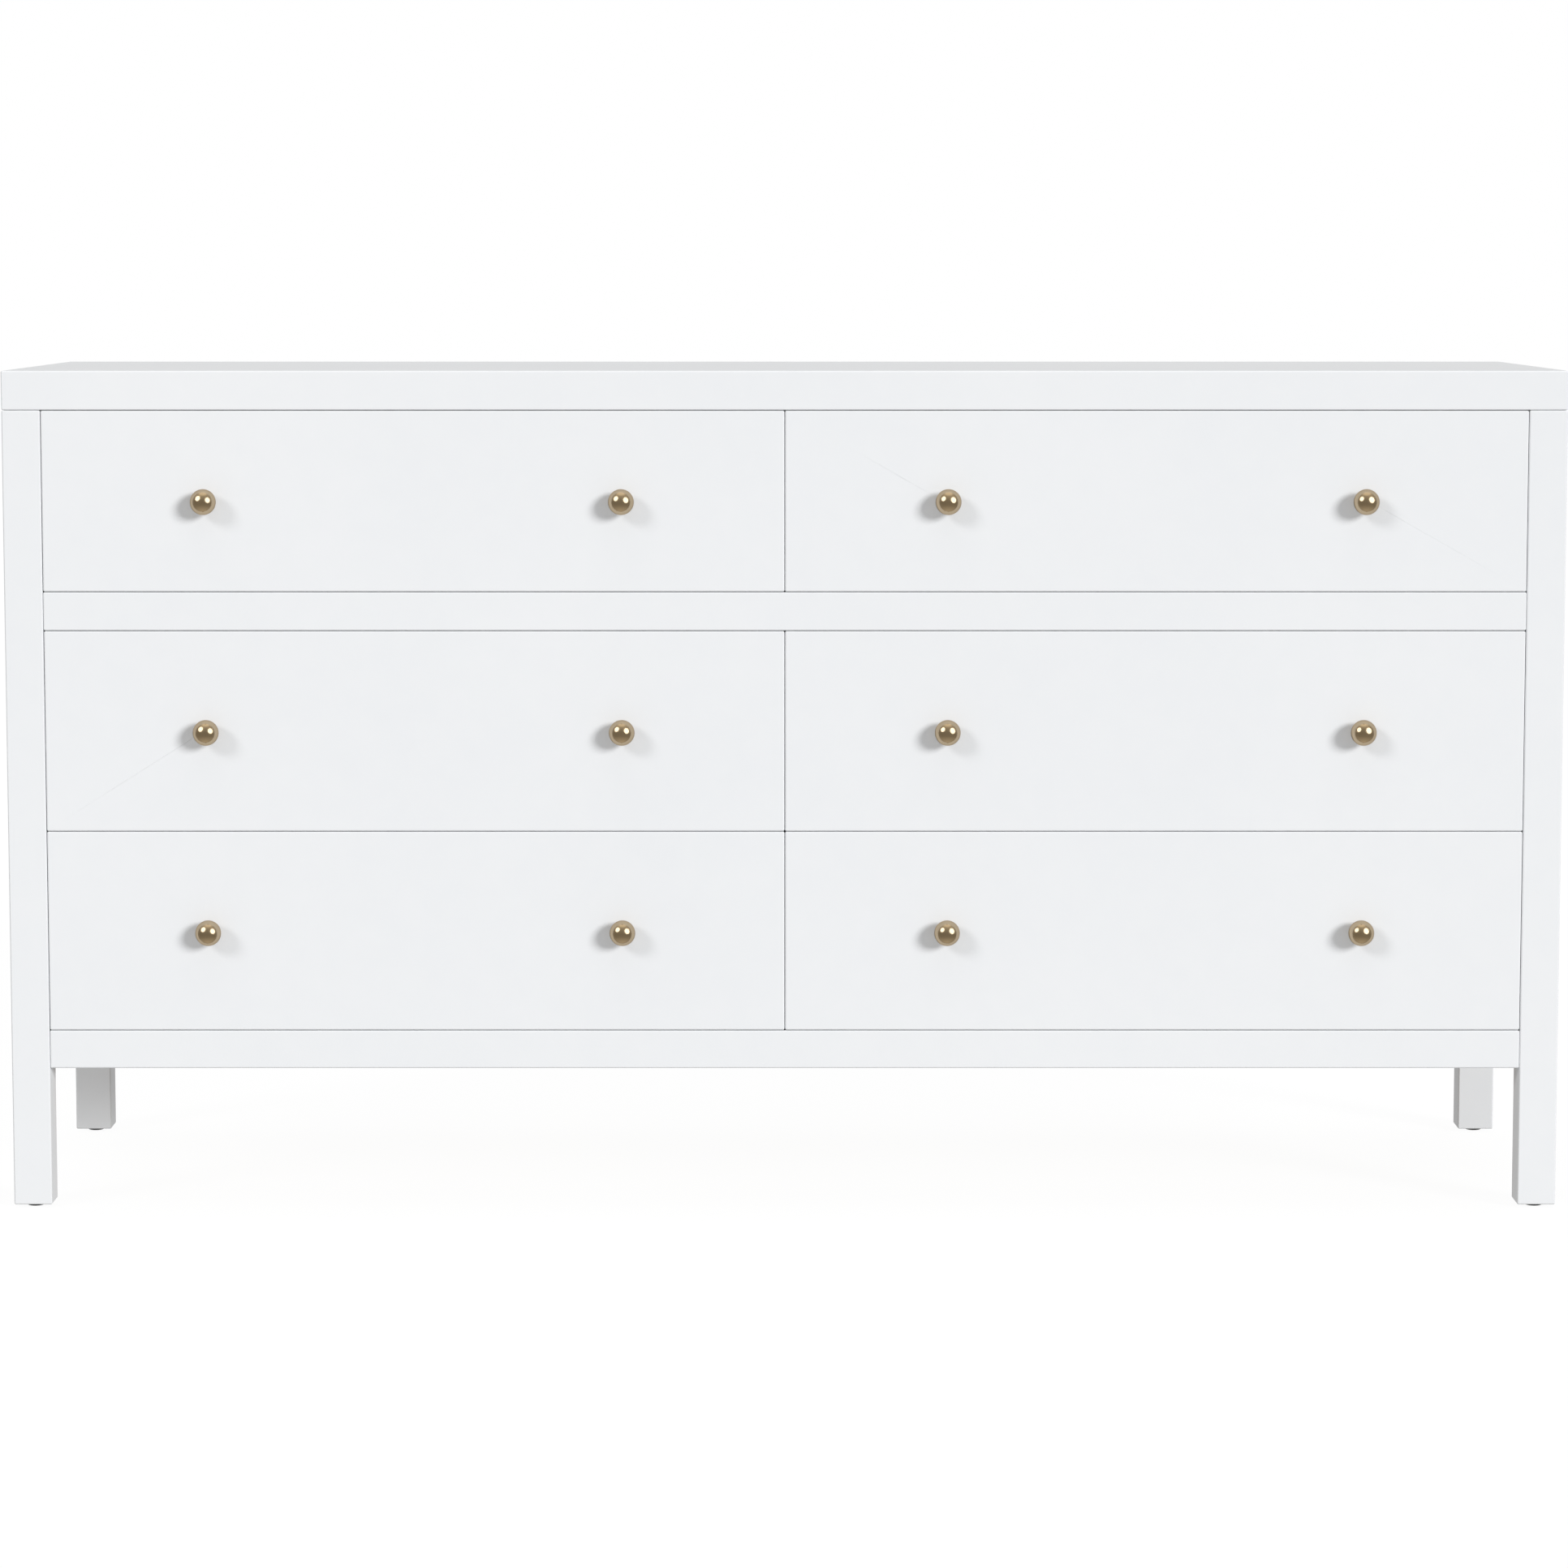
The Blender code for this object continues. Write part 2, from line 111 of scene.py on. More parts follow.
CAGE_FLANGE = 2.0 * MM       # past the balls' centres
CAGE_RETURN = 3.4 * MM
CAGE_CLEARANCE = 0.35 * MM   # over the screw heads
BALL_OFFSET = 0.2 * MM       # of the balls' centres from the middle of the case member
SLOT_HALF_LENGTH = 3.0 * MM
SLOT_R = 2.3 * MM
# Places of the slots and screws, as shares of the member's length from its front
CASE_SLOTS = (0.14, 0.30, 0.56, 0.72, 0.93)
CASE_SCREWS = (0.10, 0.50, 0.88)
DRAWER_SLOTS = (0.12, 0.24, 0.44, 0.66, 0.80)
DRAWER_SCREWS = (0.08, 0.52, 0.90)

# Studio
MAIN_LIGHT = (0.622, -0.732, 0.278)      # towards the light
LEFT_LIGHT = (-0.610, -0.657, 0.440)
MAIN_STRENGTH = 2.22
LEFT_STRENGTH = 0.765
LIGHT_SPREAD = math.radians(17)
MAIN_DISC = (0.692, -0.628, 0.355)       # towards the round reflectors that only polished metal shows
LEFT_DISC = (-0.673, -0.522, 0.524)
MAIN_DISC_HALF_ANGLE = math.radians(23)
LEFT_DISC_HALF_ANGLE = math.radians(19)
DISC_DISTANCE = 6.0
DISC_RADIANCE = 3.1
# Brightness of the room by the sine of the elevation, towards the camera side and towards the backdrop
FRONT_SKY = (
    (-1.0, 0.42), (-0.03, 0.44), (0.02, 0.26), (0.18, 0.27),
    (0.34, 0.30), (0.64, 0.32), (0.87, 0.46), (0.97, 1.20),
)
BACK_SKY = (
    (-1.0, 0.42), (-0.03, 0.50), (0.02, 0.66), (0.30, 0.66),
    (0.64, 0.64), (0.87, 0.71), (0.97, 1.20),
)
# What glossy surfaces mirror of the room on the camera side: warm and dim between floor and ceiling
MIRRORED_SKY = (
    (-1.0, 0.60), (-0.90, 0.50), (-0.70, 0.41), (-0.48, 0.31), (-0.15, 0.27),
    (0.25, 0.28), (0.60, 0.36), (0.84, 0.50), (0.95, 0.98),
)
MIRRORED_TINT = (1.07, 0.97, 0.80)
BACKDROP_FROM_Y = -0.30      # between these, the room turns from the camera side into the backdrop
BACKDROP_TO_Y = 0.55
DISC_AIM = (0, -0.22, 0.45)              # the middle of the dresser's front
FLOOR_SIZE = 30              # from its middle to each side
FLOOR_DROP = 0.05 * MM
FLOOR_GLOW = 0.94
FLOOR_TONE = 0.08

CAMERA_PLACE = (-0.0007, -4.974, 0.9255)
CAMERA_TILT = math.radians(83.955)
CAMERA_LENS = 112.03


# ---------------------------------------------------------------- materials


class Recipe:
    """A node material in the making: add() makes a node and links or sets its inputs."""

    def __init__(self, name):
        self.material = bpy.data.materials.new(name)
        self.material.use_nodes = True
        self.tree = self.material.node_tree
        self.shader = self.tree.nodes["Principled BSDF"]

    def feed(self, socket, value):
        if isinstance(value, bpy.types.NodeSocket):
            self.tree.links.new(value, socket)
        else:
            socket.default_value = value

    def add(self, kind, inputs, output=0, **settings):
        made = self.tree.nodes.new(kind)
        for setting, value in settings.items():
            setattr(made, setting, value)
        for socket, value in inputs.items():
            self.feed(made.inputs[socket], value)
        return made.outputs[output]

    def set(self, **inputs):
        for socket, value in inputs.items():
            self.feed(self.shader.inputs[socket.replace("_", " ")], value)

    def place(self):
        """Position on the piece, in metres, which stays put when the piece moves."""
        return self.add("ShaderNodeTexCoord", {}, output="Object")

    def stretch(self, vector, scale):
        return self.add("ShaderNodeVectorMath", {0: vector, 1: scale}, operation="MULTIPLY")

    def noise(self, vector, scale, detail=2.0, roughness=0.5, distortion=0.0):
        inputs = {"Vector": vector, "Scale": scale, "Detail": detail}
        inputs.update({"Roughness": roughness, "Distortion": distortion})
        return self.add("ShaderNodeTexNoise", inputs, output="Fac")

    def spread(self, value, low, high, start=0.0, end=1.0):
        """value from start..end taken to low..high, held at the ends."""
        inputs = {"Value": value, "From Min": start, "From Max": end, "To Min": low, "To Max": high}
        return self.add("ShaderNodeMapRange", inputs)

    def sum(self, *values, operation="ADD"):
        total = values[0]
        for value in values[1:]:
            total = self.add("ShaderNodeMath", {0: total, 1: value}, operation=operation)
        return total

    def blend(self, factor, first, second):
        inputs = {0: factor, 6: first, 7: second}
        return self.add("ShaderNodeMix", inputs, output=2, data_type="RGBA")

    def bump(self, height, distance, strength=1.0, normal=None):
        inputs = {"Height": height, "Distance": distance, "Strength": strength}
        if normal is not None:
            inputs["Normal"] = normal
        return self.add("ShaderNodeBump", inputs, output="Normal")

    def edge(self, radius, samples=4):
        """1 on edges that stand out or fold in, 0 on flats."""
        bent = self.add("ShaderNodeBevel", {"Radius": radius}, samples=samples)
        flat = self.add("ShaderNodeNewGeometry", {}, output="Normal")
        alike = self.add("ShaderNodeVectorMath", {0: bent, 1: flat}, output="Value", operation="DOT_PRODUCT")
        return self.spread(alike, 1.0, 0.0, start=0.82, end=0.995)


def colour(red, green, blue):
    return (red, green, blue, 1.0)


def white_paint():
    """Sprayed satin lacquer: orange peel, patches of gloss, and smoother arrises with a painted highlight
    that makes them paler.
    """
    made = Recipe("white_paint")
    place = made.place()
    patches = made.noise(place, 3.2, detail=3)
    mottle = made.noise(place, 38, detail=4, roughness=0.6)
    peel = made.noise(place, 520, detail=2, roughness=0.45)
    edge = made.edge(1.4 * MM)
    tone = made.sum(made.spread(patches, 0.0, 0.6, 0.3, 0.7), made.spread(mottle, 0.0, 0.4, 0.3, 0.7))
    coat = made.blend(tone, colour(0.820, 0.836, 0.855), colour(0.846, 0.858, 0.872))
    # Painted highlight: the base colour turns paler along the edges, standing in for the light the arrises
    # catch.
    coat_with_painted_highlight = made.blend(made.sum(edge, 0.7, operation="MULTIPLY"), coat, colour(0.900, 0.900, 0.895))
    gloss = made.sum(made.spread(mottle, 0.34, 0.44, 0.3, 0.7), made.spread(edge, 0.0, -0.08))
    height = made.sum(peel, made.sum(mottle, 1.4, operation="MULTIPLY"))
    made.set(Base_Color=coat_with_painted_highlight, Roughness=gloss, Normal=made.bump(height, 0.012 * MM, 0.55), IOR=1.48)
    return made.material


def white_board():
    """White foil on hardboard: fine paper-like fibre under a dull film, a little uneven."""
    made = Recipe("white_board")
    place = made.place()
    fibre = made.noise(made.stretch(place, (1.0, 1.0, 0.35)), 420, detail=4, roughness=0.65)
    cloud = made.noise(place, 5, detail=3)
    tone = made.sum(made.spread(cloud, 0.0, 0.7, 0.3, 0.7), made.spread(fibre, 0.0, 0.3, 0.3, 0.7))
    film = made.blend(tone, colour(0.772, 0.772, 0.765), colour(0.800, 0.800, 0.795))
    gloss = made.spread(fibre, 0.48, 0.62, 0.3, 0.7)
    relief = made.bump(made.sum(fibre, cloud), 0.05 * MM, 0.5)
    made.set(Base_Color=film, Roughness=gloss, Normal=relief, IOR=1.45)
    return made.material


def wood(name, place_of, pale, mid, dark, gloss):
    """Clear-coated light wood. The grain runs along the first axis of the place it is given."""
    made = Recipe(name)
    place = place_of(made)
    bend = made.noise(made.stretch(place, (1.1, 5.0, 5.0)), 1.0, detail=2)
    sway = made.stretch(made.add("ShaderNodeCombineXYZ", {"Y": bend, "Z": bend}), (0.0, 0.05, 0.05))
    bent = made.add("ShaderNodeVectorMath", {0: place, 1: sway}, operation="ADD")
    wave = {"Vector": made.stretch(bent, (0.25, 1.0, 1.0)), "Scale": 26, "Distortion": 3.0}
    wave.update({"Detail": 3, "Detail Scale": 1.2})
    rings = made.add(
        "ShaderNodeTexWave", wave, output="Fac", wave_type="RINGS", rings_direction="X", wave_profile="SAW"
    )
    streaks = made.noise(made.stretch(bent, (3.0, 150, 150)), 1.0, detail=4, roughness=0.6)
    pores = made.noise(made.stretch(place, (55, 1500, 1500)), 1.0, detail=2)
    board = made.noise(made.stretch(place, (0.6, 3.0, 3.0)), 1.0, detail=1)
    grain = made.sum(made.spread(rings, 0.0, 0.42), made.spread(streaks, 0.0, 0.58, 0.3, 0.7))
    body = made.blend(made.spread(grain, 0.0, 1.0, 0.1, 0.9), pale, mid)
    toned = made.blend(made.spread(board, 0.0, 0.35, 0.35, 0.7), body, dark)
    fleck = made.spread(pores, 0.0, 0.5, 0.60, 0.74)
    finished = made.blend(fleck, toned, dark)
    sheen = made.sum(made.spread(streaks, gloss, gloss + 0.10, 0.3, 0.7), fleck, operation="ADD")
    height = made.sum(streaks, made.sum(fleck, -1.2, operation="MULTIPLY"))
    made.set(
        Base_Color=finished,
        Roughness=made.spread(sheen, gloss, gloss + 0.25, gloss, gloss + 0.5),
        Normal=made.bump(height, 0.06 * MM, 0.6),
        IOR=1.48,
    )
    return made.material


def board_place(made):
    """Position along, across and through each board, kept on the mesh by grain_of()."""
    return made.add("ShaderNodeAttribute", {}, output="Vector", attribute_name="grain")


def drawer_wood():
    tones = colour(0.70, 0.545, 0.365), colour(0.600, 0.435, 0.270), colour(0.43, 0.285, 0.155)
    return wood("drawer_wood", board_place, *tones, 0.36)


def bottom_ply():
    tones = colour(0.735, 0.600, 0.430), colour(0.650, 0.500, 0.335), colour(0.50, 0.355, 0.215)
    return wood("bottom_ply", Recipe.place, *tones, 0.42)


def zinc_steel():
    """Bright zinc on rolled strip: fine lines along the strip and cloudy patches from the bath."""
    made = Recipe("zinc_steel")
    place = made.place()
    lines = made.noise(made.stretch(place, (1100, 14, 1100)), 1.0, detail=3)
    cloud = made.noise(place, 70, detail=4, roughness=0.6)
    edge = made.edge(0.6 * MM)
    dull, bright = colour(0.52, 0.53, 0.545), colour(0.66, 0.665, 0.675)
    plate = made.blend(made.spread(cloud, 0.0, 1.0, 0.3, 0.7), dull, bright)
    # The plate colour turns paler along every edge.
    paler_at_edges = made.blend(made.sum(edge, 0.6, operation="MULTIPLY"), plate, colour(0.76, 0.76, 0.765))
    gloss = made.sum(made.spread(cloud, 0.24, 0.38, 0.3, 0.7), made.spread(lines, -0.04, 0.05, 0.3, 0.7))
    made.set(Base_Color=paler_at_edges, Roughness=gloss, Normal=made.bump(lines, 0.01 * MM, 0.6), Metallic=1.0)
    return made.material


def brass():
    """Polished champagne brass under lacquer: faint turning rings, fine handling marks and a little haze."""
    made = Recipe("brass")
    place = made.place()
    across = made.stretch(place, (1, 0, 1))
    from_axis = made.add("ShaderNodeVectorMath", {0: across}, output="Value", operation="LENGTH")
    rings = made.noise(made.add("ShaderNodeCombineXYZ", {"X": from_axis}), 2600, detail=1)
    marks = made.noise(place, 240, detail=4, roughness=0.65)
    haze = made.noise(place, 55, detail=2)
    deep, pale = colour(0.520, 0.418, 0.287), colour(0.565, 0.459, 0.319)
    metal = made.blend(made.spread(haze, 0.0, 1.0, 0.3, 0.7), deep, pale)
    gloss = made.sum(made.spread(marks, 0.12, 0.18, 0.35, 0.7), made.spread(haze, 0.0, 0.04, 0.3, 0.7))
    height = made.sum(rings, made.sum(marks, 0.8, operation="MULTIPLY"))
    relief = made.bump(height, 0.0012 * MM, 0.4)
    edge = colour(0.62, 0.57, 0.52)
    made.set(Base_Color=metal, Roughness=gloss, Normal=relief, Metallic=1.0, Specular_Tint=edge)
    return made.material


def dark_plastic():
    """Moulded nylon, matt, with a fine spark-eroded grain and scuffs where it meets the floor."""
    made = Recipe("dark_plastic")
    place = made.place()
    grain = made.noise(place, 2200, detail=2)
    scuff = made.noise(place, 260, detail=4, roughness=0.7)
    black, grey = colour(0.010, 0.010, 0.011), colour(0.040, 0.040, 0.040)
    body = made.blend(made.spread(scuff, 0.0, 1.0, 0.5, 0.8), black, grey)
    made.set(
        Base_Color=body,
        Roughness=made.spread(grain, 0.45, 0.62, 0.3, 0.7),
        Normal=made.bump(made.sum(grain, scuff), 0.02 * MM, 0.6),
        IOR=1.5,
    )
    return made.material


MATERIALS = {make.__name__: make() for make in (
    white_paint, white_board, drawer_wood, bottom_ply, zinc_steel, brass, dark_plastic
)}


# ---------------------------------------------------------------- mesh helpers


def piece(name, bm, body, slot, origin=(0, 0, 0), sharp=32, replaces=()):
    """Turns a bmesh into a piece that rides on a body, with smooth faces between its sharp edges."""
    bmesh.ops.recalc_face_normals(bm, faces=bm.faces)
    mesh = bpy.data.meshes.new(name)
    bm.to_mesh(mesh)
    bm.free()
    mesh.polygons.foreach_set("use_smooth", [True] * len(mesh.polygons))
    mesh.set_sharp_from_angle(angle=math.radians(sharp))
    mesh.materials.append(MATERIALS[slot])
    made = bpy.data.objects.new(name, mesh)
    made.location = origin
    bpy.context.scene.collection.objects.link(made)
    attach(made, body)
    if replaces:
        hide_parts(*replaces)
    return made


def arc(centre, radius, start, end, steps):
    """Points (out, along) on an arc, angles in degrees from the out axis."""
    points = []
    for step in range(steps + 1):
        angle = math.radians(start + (end - start) * step / steps)
        points.append((centre[0] + radius * math.cos(angle), centre[1] + radius * math.sin(angle)))
    return points


def turn(bm, profile, place, segments=32):
    """A closed solid of revolution. The profile is (radius, along) and starts and ends on the axis."""
    rings = []
    for radius, along in profile:
        count = 1 if radius < 1e-9 else segments
        ring = []
        for step in range(count):
            angle = 2 * math.pi * step / segments
            point = Vector((radius * math.cos(angle), radius * math.sin(angle), along))
            ring.append(bm.verts.new(place @ point))
        rings.append(ring)
    for first, second in zip(rings, rings[1:]):
        for step in range(segments):
            ahead = (step + 1) % segments
            corners = [first[step % len(first)], first[ahead % len(first)]]
            corners += [second[ahead % len(second)], second[step % len(second)]]
            bm.faces.new(list(dict.fromkeys(corners)))


def facing(point, direction):
    """A place at that point whose +Z axis points in that direction."""
    turned = Vector(direction).to_track_quat("Z", "Y").to_matrix().to_4x4()
    return Matrix.Translation(Vector(point)) @ turned


def loft(bm, outline, ends):
    """A solid between two outlines of as many points. ends takes a point of each outline into the frame."""
    loops = [[bm.verts.new(end(*point)) for point in outline[number]] for number, end in enumerate(ends)]
    bm.faces.new(loops[0])
    bm.faces.new(list(reversed(loops[1])))
    count = len(loops[0])
    for step in range(count):
        ahead = (step + 1) % count
        bm.faces.new([loops[0][ahead], loops[0][step], loops[1][step], loops[1][ahead]])


def rolled(path, bend, steps=5):
    """The corner points of a strip's section, each corner turned into an arc of that radius."""
    points = [Vector(path[0])]
    for before, corner, after in zip(path, path[1:], path[2:]):
        corner = Vector(corner)
        back = (Vector(before) - corner).normalized()
        ahead = (Vector(after) - corner).normalized()
        half = back.angle(ahead) / 2
        run = bend / math.tan(half)
        centre = corner + (back + ahead).normalized() * bend / math.sin(half)
        start = corner + back * run - centre
        end = corner + ahead * run - centre
        for step in range(steps + 1):
            share = step / steps
            swing = start.angle(end)
            mixed = start * math.sin((1 - share) * swing) + end * math.sin(share * swing)
            points.append(centre + mixed / math.sin(swing))
    points.append(Vector(path[-1]))
    return points


def strip(bm, path, thickness, start_y, end_y, to_frame):
    """Sheet metal of that section, run along Y. to_frame takes (out, y, up) into the frame."""
    sides = ([], [])
    for number, point in enumerate(path):
        before = path[max(number - 1, 0)]
        after = path[min(number + 1, len(path) - 1)]
        along = (after - before).normalized()
        across = Vector((-along.y, along.x)) * thickness / 2
        sides[0].append(point + across)
        sides[1].append(point - across)
    front, back = (
        [[bm.verts.new(to_frame(point.x, y, point.y)) for point in side] for side in sides]
        for y in (start_y, end_y)
    )
    for step in range(len(path) - 1):
        for end in (front, back):
            bm.faces.new([end[0][step], end[0][step + 1], end[1][step + 1], end[1][step]])
        for side in (0, 1):
            bm.faces.new([front[side][step], front[side][step + 1], back[side][step + 1], back[side][step]])
    for step in (0, len(path) - 1):
        bm.faces.new([front[0][step], front[1][step], back[1][step], back[0][step]])


def carve(bm, cutters):
    """Takes the closed shells of one bmesh out of another."""
    scratch = []
    for name, source in (("carved", bm), ("cutters", cutters)):
        bmesh.ops.recalc_face_normals(source, faces=source.faces)
        mesh = bpy.data.meshes.new(name)
        source.to_mesh(mesh)
        made = bpy.data.objects.new(name, mesh)
        bpy.context.scene.collection.objects.link(made)
        scratch.append(made)
    cutters.free()
    cut = scratch[0].modifiers.new("cut", "BOOLEAN")
    cut.object = scratch[1]
    cut.operation = "DIFFERENCE"
    cut.solver = "EXACT"
    graph = bpy.context.evaluated_depsgraph_get()
    result = scratch[0].evaluated_get(graph).to_mesh()
    bm.clear()
    bm.from_mesh(result)
    for made in scratch:
        mesh = made.data
        bpy.data.objects.remove(made)
        bpy.data.meshes.remove(mesh)


def add_copy(bm, mesh, place):
    """Adds a mesh to a bmesh, at that place."""
    known = len(bm.verts)
    bm.from_mesh(mesh)
    bm.verts.ensure_lookup_table()
    bmesh.ops.transform(bm, matrix=place, verts=bm.verts[known:])


# ---------------------------------------------------------------- screws


def cross_arm(quarter, radius, head_h):
    """A cutter for one arm of the tapered cross in a screw head."""
    bm = bmesh.new()
    turned = Matrix.Rotation(quarter * math.pi / 2, 3, "Z")
    corners = [(-1, -1), (1, -1), (1, 1), (-1, 1)]
    top = [(radius * 0.58 * x, radius * 0.14 * y) for x, y in corners]
    low = [(radius * 0.25 * x, radius * 0.09 * y) for x, y in corners]
    loft(bm, (top, low), (
        lambda x, y: turned @ Vector((x, y, head_h * 1.1)),
        lambda x, y: turned @ Vector((x, y, head_h * 0.25)),
    ))
    return bm


def screw_mesh(name, radius, head_h, shank_r, shank_l):
    """A pan-head screw with its head's seat at the origin and its point towards -Z."""
    bm = bmesh.new()
    rim = head_h * 0.45
    crown = [
        (radius * math.cos(math.radians(a)), rim + (head_h - rim) * math.sin(math.radians(a)))
        for a in range(0, 90, 10)
    ]
    shank = [(0, -shank_l), (shank_r * 0.55, -shank_l + shank_r * 0.3), (shank_r, -shank_l + shank_r * 1.6)]
    shank.append((shank_r, 0))
    seat = [(radius * 0.94, 0), (radius, head_h * 0.12)]
    turn(bm, shank + seat + crown + [(0, head_h)], Matrix(), SCREW_SEGMENTS)
    for quarter in (0, 1):
        carve(bm, cross_arm(quarter, radius, head_h))
    mesh = bpy.data.meshes.new(name)
    bm.to_mesh(mesh)
    bm.free()
    return mesh


# ---------------------------------------------------------------- painted boards


def refine_board(node, slot):
    """Keeps a CAD board: its eased arrises become round, and it gets its finish."""
    board = NODES[node]
    weld = board.modifiers.new("weld", "WELD")
    weld.merge_threshold = WELD_DISTANCE
    flats = board.modifiers.new("flats", "DECIMATE")
    flats.decimate_type = "DISSOLVE"
    flats.angle_limit = math.radians(1)
    rounding = board.modifiers.new("rounding", "BEVEL")
    rounding.width = ARRIS_ROUNDING
    rounding.segments = 2
    rounding.limit_method = "ANGLE"
    rounding.angle_limit = math.radians(30)
    rounding.miter_outer = "MITER_ARC"
    normals = board.modifiers.new("normals", "WEIGHTED_NORMAL")
    normals.keep_sharp = False
    normals.weight = 90
    repaint(node, slot)


def repaint(node, slot):
    board = NODES[node]
    board.data.materials.clear()
    board.data.materials.append(MATERIALS[slot])


BOARDS = (
    "top_panel", "centre_partition", "front_rail_middle", "front_rail_bottom",
    "back_rail_top", "back_rail_bottom", "top_stretcher_front",
)
for node in BOARDS:
    refine_board(node, "white_paint")
for side in SIDES:
    refine_board(f"side_panel_{side}", "white_paint")
    for end in ("front", "back"):
        refine_board(f"leg_{end}_{side}", "white_paint")
    for row in ROWS:
        refine_board(f"drawer_front_{row}_{side}", "white_paint")
        refine_board(f"drawer_bottom_{row}_{side}", "bottom_ply")
refine_board("back_panel", "white_board")


# ---------------------------------------------------------------- knobs


POLISHED = bpy.data.collections.new("polished")      # the pieces that mirror the studio's reflectors


def knob_profile():
    """From the seat on the drawer front outwards: flange, cove, neck and ball."""
    centre = KNOB_REACH - KNOB_R
    edge = 0.5 * MM
    flange = [(0, 0), (KNOB_BASE_R - edge, 0)]
    flange += arc((KNOB_BASE_R - edge, edge), edge, -90, 0, 5)[1:]
    flange += arc((KNOB_BASE_R - edge, KNOB_BASE_T - edge), edge, 0, 90, 5)
    cove = 0.55 * MM
    neck = [(KNOB_NECK_R + cove, KNOB_BASE_T)]
    neck += arc((KNOB_NECK_R + cove, KNOB_BASE_T + cove), cove, 270, 180, 5)[1:]
    meets = math.degrees(math.asin((KNOB_NECK_R + 0.25 * MM) / KNOB_R))
    ball = arc((0, centre), KNOB_R, -90 + meets, 90, 60)
    ball[-1] = (0, KNOB_REACH)
    return flange + neck + ball


def make_knobs(row, side):
    """Two ball knobs, and the machine screws that come through the drawer from inside."""
    body = f"drawer_{row}_{side}"
    front_low, front_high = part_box(f"drawer_front_{row}_{side}")
    box_low, box_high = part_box(f"drawer_box_{row}_{side}")
    for place in PLACES:
        node = f"knob_{row}_{side}_{place}"
        low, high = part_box(node)
        seat = Vector(((low.x + high.x) / 2, front_low.y, (low.z + high.z) / 2))
        bm = bmesh.new()
        turn(bm, knob_profile(), facing((0, 0, 0), (0, -1, 0)), KNOB_SEGMENTS)
        ball = piece(f"ball_knob_{row}_{side}_{place}", bm, body, "brass", origin=seat, replaces=(node,))
        POLISHED.objects.link(ball)
        screw = bmesh.new()
        add_copy(screw, KNOB_SCREW, facing((seat.x, box_low.y + WALL_T + SEAT_GAP, seat.z), (0, 1, 0)))
        piece(f"knob_screw_{row}_{side}_{place}", screw, body, "zinc_steel", sharp=25)


# ---------------------------------------------------------------- drawer boxes


def tail_levels(low, high):
    """Centre heights of the dovetails in a wall, and half of their wide and narrow ends."""
    count = round((high - low) / TAIL_PITCH)
    pitch = (high - low) / count
    wide = pitch * TAIL_SHARE
    return [low + pitch * (number + 0.5) for number in range(count)], wide, wide - WALL_T * TAIL_SLOPE


def toothed(levels, half, low, high, tip, root):
    """Up the end of a board from low to high: out to tip inside each level, back to root between."""
    points = [(root, low)]
    wide, narrow = half
    for level in levels:
        points += [(root, level - narrow), (tip, level - wide), (tip, level + wide), (root, level + narrow)]
    return points + [(root, high)]


def side_wall(x_from, x_to, front_y, back_y, low, high):
    """A side wall, with tails at both ends."""
    bm = bmesh.new()
    levels, wide, narrow = tail_levels(low, high)
    half = (wide - JOINT_GAP, narrow - JOINT_GAP)
    front = toothed(levels, half, low, high, front_y, front_y + WALL_T)
    back = toothed(levels, half, low, high, back_y, back_y - WALL_T)
    outline = front + list(reversed(back))
    loft(bm, (outline, outline), (lambda y, z: Vector((x_from, y, z)), lambda y, z: Vector((x_to, y, z))))
    return bm


def end_wall(face_y, inside_y, x_from, x_to, low, high):
    """The wall behind the front, or the back wall, with pins at both ends between the tails."""
    bm = bmesh.new()
    levels, wide, narrow = tail_levels(low, high)

    def outline(half):
        ends = []
        for tip, inward in ((x_from, 1), (x_to, -1)):
            root = tip + inward * WALL_T
            points = [(tip, low)]
            for level in levels:
                under, over = level - half, level + half
                points += [(tip, under), (root, under), (root, over), (tip, over)]
            ends.append(points + [(tip, high)])
        return ends[0] + list(reversed(ends[1]))

    loft(bm, (outline(wide), outline(narrow)), (
        lambda x, z: Vector((x, face_y, z)),
        lambda x, z: Vector((x, inside_y, z)),
    ))
    return bm


def soften(bm, offset):
    bmesh.ops.recalc_face_normals(bm, faces=bm.faces)
    sharp = [edge for edge in bm.edges if edge.calc_face_angle(0) > math.radians(20)]
    bmesh.ops.bevel(
        bm, geom=sharp, offset=offset, segments=2, profile=0.5, affect="EDGES", clamp_overlap=True
    )


def grain_of(bm, along, start):
    """Keeps each point's place along, across and through its board, from a start of the board's own."""
    layer = bm.verts.layers.float_vector.new("grain")
    for vert in bm.verts:
        point = vert.co + Vector(start)
        vert[layer] = (point.y, point.x, point.z) if along == "y" else (point.x, point.y, point.z)


